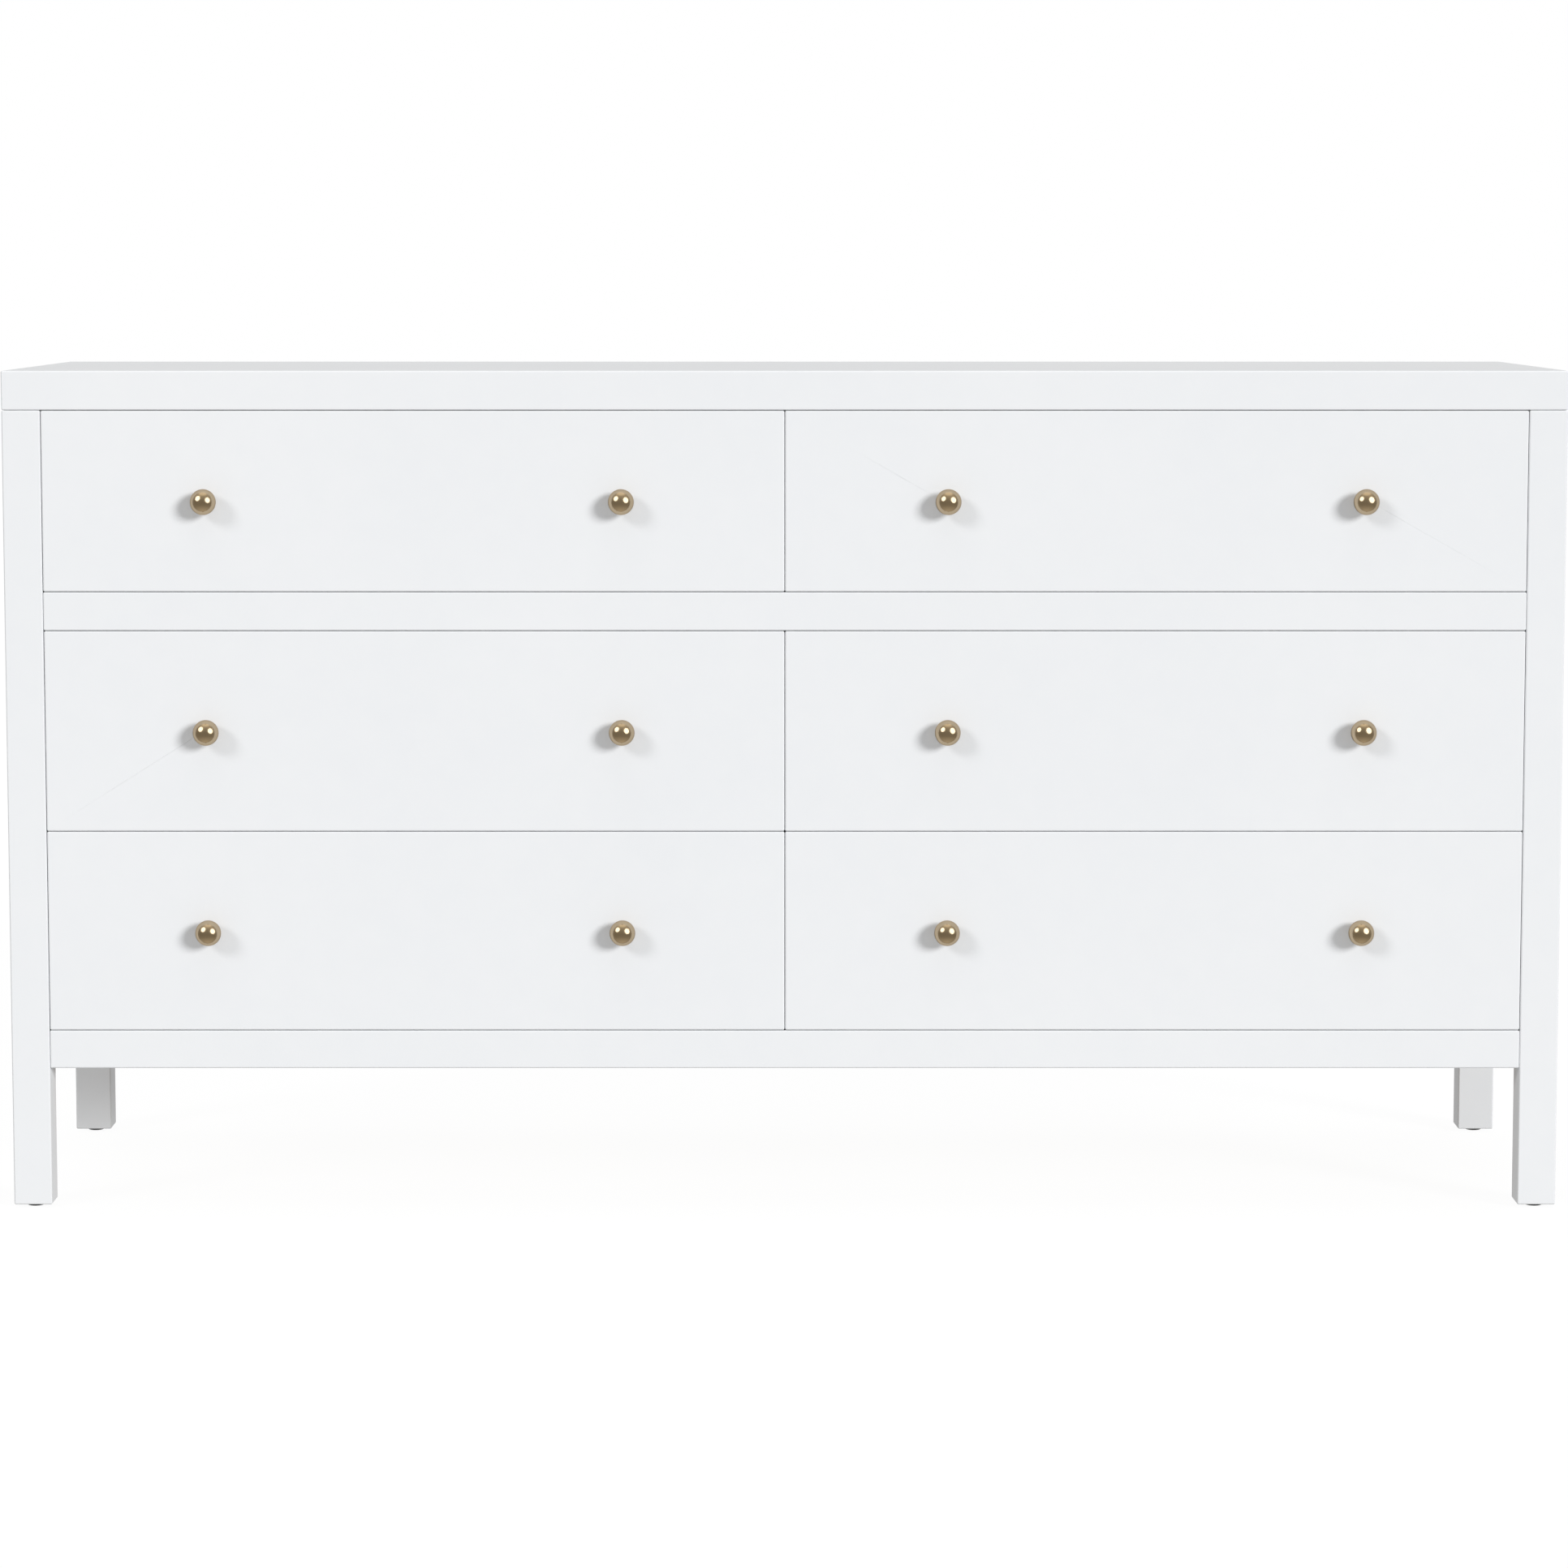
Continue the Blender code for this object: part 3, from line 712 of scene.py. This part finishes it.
def make_box(row, side, number):
    """The four walls of a drawer box, dovetailed at the corners and glued."""
    node = f"drawer_box_{row}_{side}"
    low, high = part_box(node)
    bar = DRAWER_MEMBER_D
    x_from, x_to = low.x + bar, high.x - bar
    gap = JOINT_GAP
    walls = [
        ("y", side_wall(x_from, x_from + WALL_T, low.y, high.y, low.z, high.z)),
        ("y", side_wall(x_to, x_to - WALL_T, low.y, high.y, low.z, high.z)),
        ("x", end_wall(low.y + gap, low.y + WALL_T, x_from + gap, x_to - gap, low.z, high.z)),
        ("x", end_wall(high.y - gap, high.y - WALL_T, x_from + gap, x_to - gap, low.z, high.z)),
    ]
    whole = bmesh.new()
    for turn_number, (along, bm) in enumerate(walls):
        soften(bm, WALL_ROUNDING)
        seed = number * 4 + turn_number
        grain_of(bm, along, (seed * 1.37, seed * 0.53, seed * 0.71))
        mesh = bpy.data.meshes.new("wall")
        bm.to_mesh(mesh)
        bm.free()
        whole.from_mesh(mesh)
        bpy.data.meshes.remove(mesh)
    body = f"drawer_{row}_{side}"
    piece(f"box_walls_{row}_{side}", whole, body, "drawer_wood", sharp=50, replaces=(node,))


# ---------------------------------------------------------------- drawer slides


def slots(axis_z, places, web_x):
    """Cutters for long holes through a slide's web, at those places along Y."""
    bm = bmesh.new()
    reach = 3 * MM
    for y in places:
        outline = arc((y + SLOT_HALF_LENGTH, axis_z), SLOT_R, -90, 90, 8)
        outline += arc((y - SLOT_HALF_LENGTH, axis_z), SLOT_R, 90, 270, 8)
        loft(bm, (outline, outline), (
            lambda y, z: Vector((web_x - reach, y, z)),
            lambda y, z: Vector((web_x + reach, y, z)),
        ))
    return bm


def make_case_member(row, side, place):
    """The rolled channel fixed to the case, its screws, and the cage of balls near its front."""
    node = f"slide_{row}_{side}_{place}"
    low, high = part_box(node)
    opens = -SIDES[side] if place == "outer" else SIDES[side]
    web_x = low.x if opens > 0 else high.x
    axis_z = (low.z + high.z) / 2
    half_h = CASE_MEMBER_H / 2 - SHEET_T / 2
    deep = CASE_MEMBER_D - SHEET_T / 2

    def to_frame(out, y, up):
        return Vector((web_x + opens * out, y, axis_z + up))

    lip = CASE_MEMBER_H / 2 - CASE_MEMBER_LIP
    path = [(deep, -lip), (deep, -half_h), (SHEET_T / 2, -half_h)]
    path += [(x, -z) for x, z in reversed(path)]
    bm = bmesh.new()
    strip(bm, rolled(path, SLIDE_BEND), SHEET_T, low.y, high.y, to_frame)
    length = high.y - low.y
    carve(bm, slots(axis_z, [low.y + length * share for share in CASE_SLOTS], web_x))
    piece(f"slide_channel_{row}_{side}_{place}", bm, "case", "zinc_steel", replaces=(node,))

    screws = bmesh.new()
    for share in CASE_SCREWS:
        add_copy(screws, SLIDE_SCREW, facing(to_frame(SHEET_T, low.y + length * share, 0), (opens, 0, 0)))
    piece(f"slide_screws_{row}_{side}_{place}", screws, "case", "zinc_steel", sharp=25)
    make_cage(f"slide_cage_{row}_{side}_{place}", low.y + CAGE_INSET, to_frame)


def make_cage(name, start_y, to_frame):
    """A strip bent into a shallow channel that keeps two rows of balls apart."""
    race = DRAWER_MEMBER_H / 2 + (CASE_MEMBER_H / 2 - SHEET_T - DRAWER_MEMBER_H / 2) / 2
    out = CASE_MEMBER_D / 2 + BALL_OFFSET
    back = SHEET_T + SLIDE_HEAD_H + CAGE_CLEARANCE
    path = [(out + CAGE_FLANGE, -race), (back, -race), (back, -race + CAGE_RETURN)]
    bm = bmesh.new()
    for up in (1, -1):
        mirrored = [(x, -up * z) for x, z in path]
        strip(bm, rolled(mirrored, CAGE_BEND), CAGE_T, start_y, start_y + CAGE_LENGTH, to_frame)
        count = int(CAGE_LENGTH / BALL_PITCH)
        for number in range(count):
            y = start_y + (CAGE_LENGTH - (count - 1) * BALL_PITCH) / 2 + number * BALL_PITCH
            ball = [(0, -BALL_R)] + arc((0, 0), BALL_R, -75, 75, 10) + [(0, BALL_R)]
            turn(bm, ball, Matrix.Translation(to_frame(out, y, up * race)), 16)
    piece(name, bm, "case", "zinc_steel")


def make_drawer_member(row, side, place):
    """The smaller rolled channel screwed to the side of the drawer box."""
    low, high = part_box(f"drawer_box_{row}_{side}")
    at_high = (place == "outer") == (SIDES[side] > 0)
    outwards = 1 if at_high else -1
    wall_x = high.x - DRAWER_MEMBER_D if at_high else low.x + DRAWER_MEMBER_D
    axis_z = low.z + SLIDE_RISE
    start_y, end_y = low.y + DRAWER_MEMBER_INSET, high.y - DRAWER_MEMBER_INSET

    def to_frame(out, y, up):
        return Vector((wall_x + outwards * out, y, axis_z + up))

    half_h = DRAWER_MEMBER_H / 2 - SHEET_T / 2
    web = SHEET_T / 2 + SEAT_GAP
    tip = DRAWER_MEMBER_D - SHEET_T
    path = [(tip, -half_h + DRAWER_MEMBER_LIP), (tip - DRAWER_MEMBER_LIP, -half_h), (web, -half_h)]
    path += [(x, -z) for x, z in reversed(path)]
    bm = bmesh.new()
    strip(bm, rolled(path, SLIDE_BEND), SHEET_T, start_y, end_y, to_frame)
    length = end_y - start_y
    carve(bm, slots(axis_z, [start_y + length * share for share in DRAWER_SLOTS], wall_x))
    body = f"drawer_{row}_{side}"
    piece(f"drawer_channel_{row}_{side}_{place}", bm, body, "zinc_steel")
    screws = bmesh.new()
    for share in DRAWER_SCREWS:
        spot = to_frame(SHEET_T + SEAT_GAP, start_y + length * share, 0)
        add_copy(screws, SLIDE_SCREW, facing(spot, (outwards, 0, 0)))
    piece(f"drawer_channel_screws_{row}_{side}_{place}", screws, body, "zinc_steel", sharp=25)


# ---------------------------------------------------------------- glides and tacks


def make_glide(end, side):
    """A domed nylon glide with a flat wearing face, and its nail."""
    node = f"glide_{end}_{side}"
    low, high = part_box(node)
    leg_low, leg_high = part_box(f"leg_{end}_{side}")
    radius = (high.x - low.x) / 2
    collar = leg_low.z - low.z
    flat = radius * 0.62
    rise = collar * 0.72
    profile = [(0, 0), (flat, 0)]
    for degrees in range(10, 91, 10):
        angle = math.radians(degrees)
        profile.append((flat + (radius - flat) * math.sin(angle), rise * (1 - math.cos(angle))))
    profile += [(radius, collar * 0.93), (radius - 0.3 * MM, collar - 0.02 * MM)]
    nail = 1.5 * MM
    profile += [(nail, collar - 0.02 * MM), (nail, high.z - low.z - 3 * MM), (0, high.z - low.z)]
    bm = bmesh.new()
    place = Matrix.Translation(Vector(((low.x + high.x) / 2, (low.y + high.y) / 2, low.z)))
    turn(bm, profile, place, 48)
    piece(f"foot_glide_{end}_{side}", bm, "case", "dark_plastic", replaces=(node,))


def make_back_tacks():
    """Round-headed tacks round the back panel and up the line of the partition."""
    low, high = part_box("back_panel")
    bm = bmesh.new()
    head = [(0, -4 * MM), (0.6 * MM, -3 * MM), (0.6 * MM, 0), (TACK_R * 0.96, 0)]
    head += [
        (TACK_R * math.cos(math.radians(a)), TACK_H * 0.2 + TACK_H * 0.8 * math.sin(math.radians(a)))
        for a in range(0, 90, 15)
    ] + [(0, TACK_H)]
    spots = []
    left, right = low.x + TACK_INSET, high.x - TACK_INSET
    bottom, top = low.z + TACK_INSET, high.z - TACK_INSET
    for number in range(TACK_GAPS_ACROSS + 1):
        x = left + (right - left) * number / TACK_GAPS_ACROSS
        spots += [(x, bottom), (x, top)]
    for number in range(1, TACK_GAPS_UP):
        z = bottom + (top - bottom) * number / TACK_GAPS_UP
        spots += [(left, z), (0, z), (right, z)]
    for x, z in spots:
        turn(bm, head, facing((x, high.y, z), (0, 1, 0)), 16)
    piece("back_panel_tacks", bm, "case", "zinc_steel")


KNOB_SCREW = screw_mesh("knob_screw", HEAD_R, HEAD_H, KNOB_SHANK_R, KNOB_SHANK_L)
SLIDE_SCREW = screw_mesh("slide_screw", SLIDE_HEAD_R, SLIDE_HEAD_H, SLIDE_SHANK_R, SLIDE_SHANK_L)

for row_number, row in enumerate(ROWS):
    for side_number, side in enumerate(SIDES):
        make_knobs(row, side)
        make_box(row, side, row_number * 2 + side_number)
        for place in PLACES:
            make_case_member(row, side, place)
            make_drawer_member(row, side, place)
for side in SIDES:
    for end in ("front", "back"):
        make_glide(end, side)
make_back_tacks()


# ---------------------------------------------------------------- studio


def rays(obj, **seen):
    """Which kinds of ray meet the object. Those not named don't."""
    for kind in ("camera", "diffuse", "glossy", "transmission", "volume_scatter", "shadow"):
        setattr(obj, f"visible_{kind}", seen.get(kind, False))


def staged_plane(name, size, z, material):
    bm = bmesh.new()
    corners = [bm.verts.new((x * size, y * size, z)) for x, y in ((-1, -1), (1, -1), (1, 1), (-1, 1))]
    bm.faces.new(corners)
    mesh = bpy.data.meshes.new(name)
    bm.to_mesh(mesh)
    bm.free()
    mesh.materials.append(material)
    made = bpy.data.objects.new(name, mesh)
    bpy.context.scene.collection.objects.link(made)
    return made


def shader_material(name):
    """An empty node material: (material, tree, its output's surface socket)."""
    material = bpy.data.materials.new(name)
    material.use_nodes = True
    tree = material.node_tree
    tree.nodes.clear()
    output = tree.nodes.new("ShaderNodeOutputMaterial")
    return material, tree, output.inputs["Surface"]


def make_floor():
    """A white floor that blends into the backdrop and takes a faint shadow. The world lights from below."""
    material, tree, surface = shader_material("floor_white")
    glow = tree.nodes.new("ShaderNodeEmission")
    glow.inputs["Color"].default_value = colour(1, 1, 1)
    glow.inputs["Strength"].default_value = FLOOR_GLOW
    matt = tree.nodes.new("ShaderNodeBsdfDiffuse")
    matt.inputs["Color"].default_value = colour(FLOOR_TONE, FLOOR_TONE, FLOOR_TONE)
    both = tree.nodes.new("ShaderNodeAddShader")
    tree.links.new(glow.outputs[0], both.inputs[0])
    tree.links.new(matt.outputs[0], both.inputs[1])
    tree.links.new(both.outputs[0], surface)
    shown = staged_plane("floor", FLOOR_SIZE, -FLOOR_DROP, material)
    rays(shown, camera=True)


def make_sun(name, towards, strength):
    lamp = bpy.data.lights.new(name, "SUN")
    lamp.energy = strength
    lamp.angle = LIGHT_SPREAD
    made = bpy.data.objects.new(name, lamp)
    bpy.context.scene.collection.objects.link(made)
    made.rotation_mode = "QUATERNION"
    made.rotation_quaternion = Vector(towards).to_track_quat("Z", "Y")
    made.visible_glossy = False


def make_disc(name, towards, half_angle):
    """A round glowing reflector that only the polished knobs mirror."""
    direction = Vector(towards).normalized()
    material, tree, surface = shader_material(name)
    glow = tree.nodes.new("ShaderNodeEmission")
    glow.inputs["Color"].default_value = colour(1.0, 1.0, 0.97)
    glow.inputs["Strength"].default_value = DISC_RADIANCE
    tree.links.new(glow.outputs[0], surface)
    bm = bmesh.new()
    place = facing(Vector(DISC_AIM) + direction * DISC_DISTANCE, -direction)
    bmesh.ops.create_circle(
        bm, cap_ends=True, segments=64, radius=DISC_DISTANCE * math.tan(half_angle), matrix=place
    )
    mesh = bpy.data.meshes.new(name)
    bm.to_mesh(mesh)
    bm.free()
    mesh.materials.append(material)
    made = bpy.data.objects.new(name, mesh)
    bpy.context.scene.collection.objects.link(made)
    rays(made, glossy=True)
    made.light_linking.receiver_collection = POLISHED


def ramp(tree, value, stops, tint=(1, 1, 1)):
    """A ramp from dark to bright: stops are (position, level)."""
    made = tree.nodes.new("ShaderNodeValToRGB")
    elements = made.color_ramp.elements
    while len(elements) < len(stops):
        elements.new(0.5)
    for element, (position, level) in zip(elements, stops):
        element.position = position
        element.color = colour(*(level * share for share in tint))
    tree.links.new(value, made.inputs["Fac"])
    return made.outputs["Color"]


def sky_stops(levels):
    """(sine of the elevation, level) pairs as stops on a ramp that starts straight below."""
    return [((sine + 1) / 2, level) for sine, level in levels]


def make_world():
    """White to the camera. Its light is dim from the camera side, brighter overhead and behind."""
    world = bpy.data.worlds.new("studio")
    bpy.context.scene.world = world
    world.use_nodes = True
    tree = world.node_tree
    tree.nodes.clear()
    coordinates = tree.nodes.new("ShaderNodeTexCoord")
    split = tree.nodes.new("ShaderNodeSeparateXYZ")
    tree.links.new(coordinates.outputs["Generated"], split.inputs[0])
    halved = tree.nodes.new("ShaderNodeMapRange")
    halved.inputs["From Min"].default_value = -1.0
    tree.links.new(split.outputs["Z"], halved.inputs["Value"])
    height = halved.outputs["Result"]
    back = ramp(tree, height, sky_stops(BACK_SKY))
    path = tree.nodes.new("ShaderNodeLightPath")
    front = tree.nodes.new("ShaderNodeMix")
    front.data_type = "RGBA"
    tree.links.new(path.outputs["Is Glossy Ray"], front.inputs[0])
    tree.links.new(ramp(tree, height, sky_stops(FRONT_SKY)), front.inputs[6])
    tree.links.new(ramp(tree, height, sky_stops(MIRRORED_SKY), MIRRORED_TINT), front.inputs[7])
    behind = tree.nodes.new("ShaderNodeMapRange")
    behind.interpolation_type = "SMOOTHSTEP"
    behind.inputs["From Min"].default_value = BACKDROP_FROM_Y
    behind.inputs["From Max"].default_value = BACKDROP_TO_Y
    tree.links.new(split.outputs["Y"], behind.inputs["Value"])
    sky = tree.nodes.new("ShaderNodeMix")
    sky.data_type = "RGBA"
    tree.links.new(behind.outputs["Result"], sky.inputs[0])
    tree.links.new(front.outputs[2], sky.inputs[6])
    tree.links.new(back, sky.inputs[7])
    light = tree.nodes.new("ShaderNodeBackground")
    tree.links.new(sky.outputs[2], light.inputs["Color"])
    backdrop = tree.nodes.new("ShaderNodeBackground")
    backdrop.inputs["Color"].default_value = colour(1, 1, 1)
    choice = tree.nodes.new("ShaderNodeMixShader")
    tree.links.new(path.outputs["Is Camera Ray"], choice.inputs[0])
    tree.links.new(light.outputs[0], choice.inputs[1])
    tree.links.new(backdrop.outputs[0], choice.inputs[2])
    output = tree.nodes.new("ShaderNodeOutputWorld")
    tree.links.new(choice.outputs[0], output.inputs["Surface"])


def make_camera():
    data = bpy.data.cameras.new("camera")
    data.lens = CAMERA_LENS
    data.sensor_width = 36
    made = bpy.data.objects.new("camera", data)
    made.location = CAMERA_PLACE
    made.rotation_euler = (CAMERA_TILT, 0, 0)
    bpy.context.scene.collection.objects.link(made)
    bpy.context.scene.camera = made


make_floor()
make_sun("main_light", MAIN_LIGHT, MAIN_STRENGTH)
make_sun("left_light", LEFT_LIGHT, LEFT_STRENGTH)
make_disc("main_reflector", MAIN_DISC, MAIN_DISC_HALF_ANGLE)
make_disc("left_reflector", LEFT_DISC, LEFT_DISC_HALF_ANGLE)
make_world()
make_camera()
bpy.context.scene.view_settings.view_transform = "Standard"
